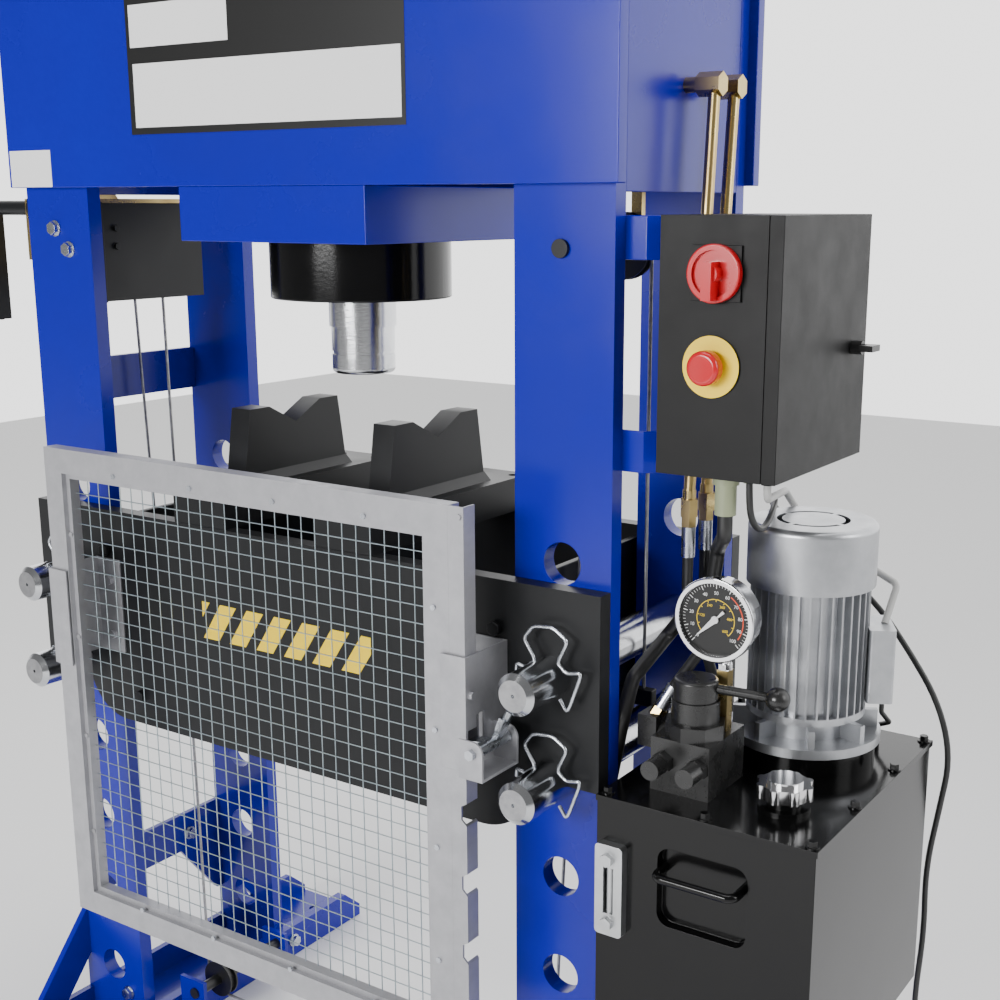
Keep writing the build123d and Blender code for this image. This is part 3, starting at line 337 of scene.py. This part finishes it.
head_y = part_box("head_front_plate")[0].y
panel("dark_head_panel", (-0.273, head_y, 1.593), (0.254, head_y, 1.86), 0.0004, black_film)
panel("notes_field", (-0.262, head_y, 1.603), (0.247, head_y, 1.694), 0.0007, white_film)
panel("name_field", (-0.265, head_y, 1.717), (-0.063, head_y, 1.777), 0.0007, white_film)
panel("small_plate", (-0.568, head_y, 1.518), (-0.467, head_y, 1.575), 0.0005, white_film)

# Ram: turned and ground steel rod below a glossy black collar, in a barrel
# that stands in the open head.
black_gloss = finish("black gloss", (0.002, 0.002, 0.0025), (0.003, 0.003, 0.003), 0.1, 0.2,
                     scale=5, skin=(220, 0.08), specular=0.3)
black_satin = finish("black satin", (0.006, 0.0065, 0.0075), (0.009, 0.0095, 0.0105), 0.34, 0.46,
                     scale=9, skin=(500, 0.1), specular=0.3)
turned_steel = finish("turned steel", (0.75, 0.76, 0.78), (0.62, 0.63, 0.65), 0.14, 0.22,
                      metallic=1.0, scale=8, skin=(60, 0.12, (1, 1, 30)))
edged("ram_collar", "frame", black_gloss)
edged("cylinder_barrel", "frame", black_gloss)
dressed("ram_piston", turned_steel)

# Bed: two thick flame-cut plates under satin black paint, with a printed
# hazard panel on the front one. One bolt of the right post has this paint too.
for name in ("bed_front_plate", "bed_rear_plate", "bed_spacers", "v_blocks"):
    edged(name, "frame", black_satin, 0.0018)
post_bolt = (0.46, -0.21, 1.41), (0.51, -0.17, 1.47)
tinted(bolts, black_satin, *post_bolt)


def mesh_piece(name, work, material):
    """Piece in the scene from a mesh under construction."""
    mesh = bpy.data.meshes.new(name)
    work.to_mesh(mesh)
    work.free()
    made = bpy.data.objects.new(name, mesh)
    bpy.context.scene.collection.objects.link(made)
    mesh.materials.append(material)
    return made


hazard_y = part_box("bed_front_plate")[0].y
hazard_left = -0.172
hazard_right = 0.174
hazard_low_z = 0.820
hazard_high_z = 0.880
stripe_count = 6
stripe_pitch = (hazard_right - hazard_left) / stripe_count
stripe_wide = stripe_pitch * 0.6
stripe_lean = 0.040
film_thick = 0.0005
for step in range(-1, stripe_count):
    left = hazard_left + step * stripe_pitch
    work = bmesh.new()
    bmesh.ops.create_cube(work, size=1)
    for corner in work.verts:
        high = corner.co.z > 0
        x = left + (stripe_wide if corner.co.x > 0 else 0) + (stripe_lean if high else 0)
        y = hazard_y - (film_thick if corner.co.y < 0 else 0)
        corner.co = (x, y, hazard_high_z if high else hazard_low_z)
    for edge_x, side in ((hazard_left, -1), (hazard_right, 1)):
        cut = bmesh.ops.bisect_plane(work, geom=work.verts[:] + work.edges[:] + work.faces[:],
                                     plane_co=(edge_x, 0, 0), plane_no=(side, 0, 0), clear_outer=True)
        rim = [item for item in cut["geom_cut"] if isinstance(item, bmesh.types.BMEdge)]
        if rim:
            bmesh.ops.contextual_create(work, geom=rim)
    bmesh.ops.recalc_face_normals(work, faces=work.faces)
    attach(mesh_piece(f"hazard_stripe_{step + 2}", work, yellow_film), "frame")

# Bed pins: polished round bars with chamfered ends, a centre hole and a bent
# spring wire clip through each.
pin_steel = finish("pin steel", (0.62, 0.63, 0.65), (0.5, 0.51, 0.53), 0.12, 0.22,
                   metallic=1.0, scale=10, skin=(60, 0.1, (1, 30, 1)))
pin_end_steel = finish("pin end steel", (0.36, 0.36, 0.37), (0.28, 0.28, 0.29), 0.3, 0.42,
                       metallic=1.0, scale=60, skin=(500, 0.1))
pin_radius = 0.0289
pin_chamfer = 0.0075
pin_front_y = -0.297
pin_back_y = 0.226
pin_front_face = (-1, -0.3, 0), (1, pin_front_y + 0.001, 2)
centre_radius = 0.0025
centre_depth_y = pin_front_y + 0.006
clip_y = -0.225
clip_radius = 0.0026
clip_path = [(-43, 6), (-42, 17), (-28, 14), (-12, 27), (-31, 54), (-16, 73), (14, 76),
             (38, 61), (22, 29), (36, 17), (60, 22), (38, -37), (26, -20)]
pin_outline = [(0.0, centre_depth_y), (centre_radius, centre_depth_y), (centre_radius, pin_front_y),
               (pin_radius - pin_chamfer, pin_front_y), (pin_radius, pin_front_y + pin_chamfer),
               (pin_radius, pin_back_y - pin_chamfer), (pin_radius - pin_chamfer, pin_back_y),
               (0.0, pin_back_y)]


def turned_pin(node, x, z, body):
    """Turned pin in place of the CAD pin."""
    work = bmesh.new()
    corners = [work.verts.new((radius, y, 0)) for radius, y in pin_outline]
    rim = [work.edges.new(pair) for pair in zip(corners, corners[1:])]
    bmesh.ops.spin(work, geom=corners + rim, cent=(0, 0, 0), axis=(0, 1, 0),
                   angle=2 * pi, steps=48, use_duplicate=False)
    bmesh.ops.remove_doubles(work, verts=work.verts, dist=0.00001)
    bmesh.ops.recalc_face_normals(work, faces=work.faces)
    bmesh.ops.translate(work, vec=(x, 0, z), verts=work.verts)
    made = mesh_piece(node + "_bar", work, pin_steel)
    tinted(made, pin_end_steel, *pin_front_face)
    smoothed(made, 30)
    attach(made, body)
    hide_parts(node)


def cable(name, points, radius, material):
    """Round cable or wire along a smooth spline."""
    data = bpy.data.curves.new(name, "CURVE")
    data.dimensions = "3D"
    spline = data.splines.new("NURBS")
    spline.points.add(len(points) - 1)
    for point, place in zip(spline.points, points):
        point.co = (*place, 1)
    spline.order_u = 3
    spline.use_endpoint_u = True
    spline.resolution_u = 6
    data.bevel_depth = radius
    data.bevel_resolution = 3
    data.use_fill_caps = True
    made = bpy.data.objects.new(name, data)
    bpy.context.scene.collection.objects.link(made)
    data.materials.append(material)
    return made


def clip_wire(name, x, z, body):
    """Spring wire through a pin, with soft bends."""
    points = []
    for (x0, z0), (x1, z1) in zip(clip_path, clip_path[1:]):
        points += [(x0, z0), ((x0 + x1) / 2, (z0 + z1) / 2)]
    points.append(clip_path[-1])
    places = [(x + dx / 1000, clip_y, z + dz / 1000) for dx, dz in points]
    made = cable(name, places, clip_radius, zinc)
    made.select_set(True)
    bpy.context.view_layer.objects.active = made
    bpy.ops.object.convert(target="MESH")
    deselect()
    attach(bpy.data.objects[name], body)


for node, body, x, z in (("pin_upper_left", "pin_ul", -0.485, 0.880),
                         ("pin_upper_right", "pin_ur", 0.485, 0.880),
                         ("pin_lower_left", "pin_ll", -0.485, 0.730),
                         ("pin_lower_right", "pin_lr", 0.485, 0.730)):
    turned_pin(node, x, z, body)
    clip_wire(node + "_clip", x, z, body)

# Guard: silver painted bars round a galvanised mesh, a notched rail, folded
# guides on the bed and a latch with a pawl.
guard_paint = finish("guard paint", (0.42, 0.42, 0.44), (0.36, 0.36, 0.38), 0.34, 0.46,
                     metallic=0.5, scale=30, skin=(700, 0.06))
guard_bars = edged("guard_frame", "gate", guard_paint, 0.0012)
mesh_screws = (-0.5, -0.31, 0.3), (0.42, -0.2984, 1.2)
tinted(guard_bars, zinc, *mesh_screws)
edged("guard_rail", "gate", guard_paint, 0.0012)
edged("guard_guides", "frame", guard_paint, 0.0008)
edged("latch_pawl", "latch", zinc, 0.0008)

mesh_wire = finish("mesh wire", (0.42, 0.5, 0.53), (0.34, 0.4, 0.43), 0.32, 0.44, metallic=0.9, scale=40)
mesh_low, mesh_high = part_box("guard_mesh")
wire_radius = 0.0009
wire_sides = 6
upright_wire_y = mesh_low.y + 0.0019
level_wire_y = mesh_low.y + 0.0004
mesh_holes = 28
wires = bmesh.new()


def add_wire(start, end):
    """Straight round wire in the shared mesh."""
    way = Vector(end) - Vector(start)
    turn = way.to_track_quat("Z", "Y").to_matrix().to_4x4()
    place = Matrix.Translation((Vector(start) + Vector(end)) / 2) @ turn
    bmesh.ops.create_cone(wires, cap_ends=True, segments=wire_sides, radius1=wire_radius,
                          radius2=wire_radius, depth=way.length, matrix=place)


for step in range(1, mesh_holes):
    x = mesh_low.x + (mesh_high.x - mesh_low.x) * step / mesh_holes
    add_wire((x, upright_wire_y, mesh_low.z), (x, upright_wire_y, mesh_high.z))
    z = mesh_low.z + (mesh_high.z - mesh_low.z) * step / mesh_holes
    add_wire((mesh_low.x, level_wire_y, z), (mesh_high.x, level_wire_y, z))
guard_wires = mesh_piece("guard_wires", wires, mesh_wire)
smoothed(guard_wires, 62)
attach(guard_wires, "gate")
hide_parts("guard_mesh")

# Control box: folded sheet with a textured black powder coat, a red rotary
# switch on a black plate and a red stop button on a yellow disc.
powder = finish("black powder coat", (0.002, 0.002, 0.0022), (0.003, 0.003, 0.0032), 0.42, 0.52,
                scale=20, skin=(1400, 0.25), specular=0.25)
red_plastic = finish("red plastic", (0.55, 0.004, 0.012), (0.5, 0.004, 0.01), 0.2, 0.3, scale=20, coat=0.3)
black_plastic = plain_material("black plastic", (0.014, 0.014, 0.014), 0.35)
sage_plastic = plain_material("sage plastic", (0.28, 0.31, 0.19), 0.45)
box_shell = edged("control_box", "frame", powder, 0.001)
cable_glands = (0.64, -0.13, 1.05), (0.705, -0.05, 1.1665)
tinted(box_shell, sage_plastic, *cable_glands)
edged("box_door", "door", powder, 0.001)
edged("door_lock", "lock", black_plastic, 0.0008)
dressed("switch_handle", red_plastic)
dressed("estop_button", red_plastic)
disc_radius = 0.0372
disc_thick = 0.0008
disc_middle = (0.695, -0.1834, 1.303)
bpy.ops.mesh.primitive_cylinder_add(vertices=64, radius=disc_radius, depth=disc_thick,
                                    location=disc_middle, rotation=(pi / 2, 0, 0))
disc = bpy.context.object
disc.name = "yellow_disc"
bpy.ops.object.transform_apply(location=True, rotation=True, scale=True)
disc.data.materials.append(yellow_film)
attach(disc, "frame")
deselect()

# Pipes: bent steel tubes with a yellow zinc finish, and their hoses.
yellow_zinc = finish("yellow zinc", (0.6, 0.47, 0.2), (0.5, 0.36, 0.15), 0.22, 0.36, metallic=1.0, scale=18)
dressed("pressure_pipes", yellow_zinc)
fittings = dressed("hose_fittings", yellow_zinc)
upper_ferrules = (0.58, -0.07, 1.02), (0.62, 0.04, 1.0688)
lower_ferrule = (0.58, -0.14, 0.836), (0.64, -0.08, 0.88)
tinted(fittings, zinc, *upper_ferrules)
tinted(fittings, zinc, *lower_ferrule)
rubber = finish("black rubber", (0.013, 0.013, 0.013), (0.018, 0.018, 0.018), 0.35, 0.5, scale=40)
dressed("hoses", rubber)
grey_rubber = plain_material("grey rubber", (0.42, 0.42, 0.41), 0.5)
wiring = dressed("cables", rubber)
cable_at_box = (0.69, -0.1, 1.08), (0.76, 0.2, 1.2)
cable_at_motor = (0.655, 0.02, 0.925), (0.85, 0.25, 1.2)
tinted(wiring, grey_rubber, *cable_at_box)
tinted(wiring, grey_rubber, *cable_at_motor)

# Tank: welded sheet steel under thick glossy black paint, with its lid,
# handle, sight gauge and filler.
for name in ("tank_body", "tank_lid"):
    edged(name, "frame", black_gloss, 0.0012)
chrome = plain_material("chrome", (0.72, 0.72, 0.73), 0.12, 1.0)
dressed("tank_handle", black_gloss)
aluminium = finish("brushed aluminium", (0.6, 0.61, 0.62), (0.5, 0.51, 0.52), 0.3, 0.42,
                   metallic=1.0, scale=25, skin=(300, 0.1, (1, 1, 12)))
edged("level_gauge", "frame", aluminium, 0.001)
dressed("filler_cap", chrome)

# Motor: die-cast body with cooling fins, cowl and fan, on a glossy black
# adapter ring above the tank lid.
cast_silver = finish("cast silver", (0.50, 0.51, 0.53), (0.42, 0.43, 0.45), 0.28, 0.4,
                     metallic=0.85, scale=25, skin=(900, 0.12))
motor_case = edged("motor_body", "frame", cast_silver, 0.0006)
adapter_ring = (0.6, -0.1, 0.73), (0.9, 0.3, 0.7668)
tinted(motor_case, black_gloss, *adapter_ring)
dressed("fan_cowl", cast_silver)
dressed("motor_fan", black_plastic)

# Valve and gauge: black oxide block with its lever, and a chromed gauge case
# on a yellow zinc stem.
black_metal = finish("black metal", (0.012, 0.012, 0.012), (0.02, 0.02, 0.02), 0.22, 0.36, scale=30)
edged("valve_block", "frame", black_metal, 0.0012)
dressed("valve_lever", black_metal)
gauge_body = dressed("gauge_case", chrome)
gauge_stem = (0.64, -0.13, 0.7), (0.71, -0.04, 0.895)
tinted(gauge_body, yellow_zinc, *gauge_stem)
dressed("gauge_pointer", white_film)

# Gauge dial: black, with white and yellow printed scales, plain numbers and a
# red arc at the high end.
dial_x = 0.673
dial_z = 0.965
dial_depth = 0.0079
dial_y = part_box("gauge_case")[0].y + dial_depth
dial_radius = 0.0498
dial_corners = 96
dial_thick = 0.0004
print_thick = 0.0002
white_radius = 0.0475
white_long_mark = 0.0415
white_short_mark = 0.0440
white_number_radius = 0.0355
white_number_size = 0.0065
yellow_radius = 0.0275
yellow_line = 0.0265
yellow_mark = 0.0240
yellow_number_radius = 0.0200
yellow_number_size = 0.0052
red_radius = 0.0400
red_line = 0.0385
mark_half_wide = 0.0005
fine_half_wide = 0.00025
number_thick = 0.0001
dial_start = radians(225)
dial_sweep = radians(270)


def dial_point(radius, share):
    """Place on the dial at a share of its scale."""
    angle = dial_start - dial_sweep * share
    return Vector((dial_x + radius * cos(angle), 0, dial_z + radius * sin(angle)))


def printed(name, outlines, y, thick, material):
    """Thin printed shapes on the dial, from their outlines."""
    work = bmesh.new()
    for corners in outlines:
        near = [work.verts.new((point.x, y - thick, point.z)) for point in corners]
        far = [work.verts.new((point.x, y, point.z)) for point in corners]
        work.faces.new(near)
        work.faces.new(list(reversed(far)))
        for step in range(len(corners)):
            after = (step + 1) % len(corners)
            work.faces.new((near[after], near[step], far[step], far[after]))
    bmesh.ops.recalc_face_normals(work, faces=work.faces)
    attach(mesh_piece(name, work, material), "frame")


def arc_quads(inner, outer, low, high, steps):
    """Corners of an arc of the scale in short runs."""
    shares = [low + (high - low) * step / steps for step in range(steps + 1)]
    return [[dial_point(inner, a), dial_point(outer, a), dial_point(outer, b), dial_point(inner, b)]
            for a, b in zip(shares, shares[1:])]


def tick_quads(inner, outer, half_wide, shares):
    """Corners of radial marks of the scale."""
    made = []
    for share in shares:
        angle = dial_start - dial_sweep * share
        side = Vector((-sin(angle), 0, cos(angle))) * half_wide
        made.append([dial_point(inner, share) - side, dial_point(outer, share) - side,
                     dial_point(outer, share) + side, dial_point(inner, share) + side])
    return made


face_angles = [2 * pi * step / dial_corners for step in range(dial_corners)]
face_outline = [Vector((dial_x + dial_radius * cos(angle), 0, dial_z + dial_radius * sin(angle)))
                for angle in face_angles]
printed("dial_face", [face_outline], dial_y, dial_thick, black_film)
print_y = dial_y - dial_thick
major = [step / 10 for step in range(11)]
minor = [step / 50 for step in range(51) if step % 5]
white_marks = tick_quads(white_long_mark, white_radius, mark_half_wide, major)
white_marks += tick_quads(white_short_mark, white_radius, fine_half_wide, minor)
printed("dial_white_marks", white_marks, print_y, print_thick, white_film)
yellow_marks = arc_quads(yellow_line, yellow_radius, 0, 1, 60)
yellow_marks += tick_quads(yellow_mark, yellow_radius, mark_half_wide, major)
printed("dial_yellow_marks", yellow_marks, print_y, print_thick, yellow_film)
red_film = plain_material("red film", (0.75, 0.06, 0.01), 0.4)
red_arc = arc_quads(red_line, red_radius, 0.62, 0.96, 30)
printed("dial_red_arc", red_arc, print_y, print_thick, red_film)


def dial_number(text, radius, share, size, material):
    """Plain number printed flat on the dial."""
    bpy.ops.object.text_add()
    made = bpy.context.object
    made.name = f"dial_number_{text}_{round(radius * 1000)}"
    made.data.body = text
    made.data.size = size
    made.data.extrude = number_thick
    made.data.align_x = "CENTER"
    made.data.align_y = "CENTER"
    made.data.materials.append(material)
    bpy.ops.object.convert(target="MESH")
    spot = dial_point(radius, share)
    made.location = (spot.x, print_y - number_thick, spot.z)
    made.rotation_euler = (pi / 2, 0, 0)
    bpy.ops.object.transform_apply(location=True, rotation=True, scale=True)
    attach(made, "frame")
    deselect()


for step in range(11):
    dial_number(str(step * 10), white_number_radius, step / 10, white_number_size, white_film)
for step in range(0, 11, 2):
    dial_number(str(step * 60), yellow_number_radius, step / 10, yellow_number_size, yellow_film)

# Winch and rope wheels: zinc plated mounts and drum, steel ropes, and wheels
# of black plastic.
edged("winch_mounts", "frame", yellow_zinc, 0.0005)
rope_steel = finish("rope steel", (0.42, 0.42, 0.42), (0.3, 0.3, 0.3), 0.4, 0.55, metallic=1.0, scale=90)
dressed("lift_ropes", rope_steel)
edged("winch_cover", "frame", black_satin, 0.0005)
dressed("winch_drum", yellow_zinc)
dressed("winch_crank", black_satin)
for name in ("rope_pulley", "low_pulley_left", "low_pulley_right"):
    dressed(name, black_plastic)

# Mains lead: a black rubber cable from the box to its plug on the floor
# behind the tank, where its spare length lies in a coil.
lead_radius = 0.0045
lead_route = [(706, -85, 1160), (706, -85, 1115), (707, -66, 1085), (704, -30, 1075),
              (695, 20, 1092), (668, 85, 1098), (632, 150, 1070), (650, 215, 1020),
              (705, 243, 965), (770, 243, 915), (818, 241, 858), (868, 243, 785),
              (892, 241, 705), (880, 243, 620), (866, 242, 520), (870, 244, 415),
              (862, 243, 305), (866, 247, 195), (852, 258, 95), (835, 290, 33),
              (800, 334, 4.5), (745, 348.5, 4.5), (700, 348.5, 4.5)]
route = [Vector(point) / 1000 for point in lead_route]
coil_x = 0.700
coil_y = 0.290
outer_turn = 0.0585
inner_turn = 0.0495
low_turn_z = 0.0045
high_turn_z = 0.0135
coil_steps = 14
full_turns = ((outer_turn, low_turn_z), (inner_turn, low_turn_z), (inner_turn, high_turn_z))
for radius, z in full_turns:
    for step in range(1, coil_steps + 1):
        angle = pi / 2 + 2 * pi * step / coil_steps
        route.append(Vector((coil_x + radius * cos(angle), coil_y + radius * sin(angle), z)))
for step in range(1, coil_steps // 4 + 1):
    angle = pi / 2 + 2 * pi * step / coil_steps
    route.append(Vector((coil_x + outer_turn * cos(angle), coil_y + outer_turn * sin(angle), high_turn_z)))
route.append(Vector((coil_x - outer_turn, 0.270, high_turn_z)))
route.append(Vector((coil_x - outer_turn, 0.2485, high_turn_z)))

lead = cable("mains_lead_cable", route, lead_radius, rubber)
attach(lead, "frame")
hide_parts("mains_lead", "lead_coil")
dressed("lead_plug", black_plastic)
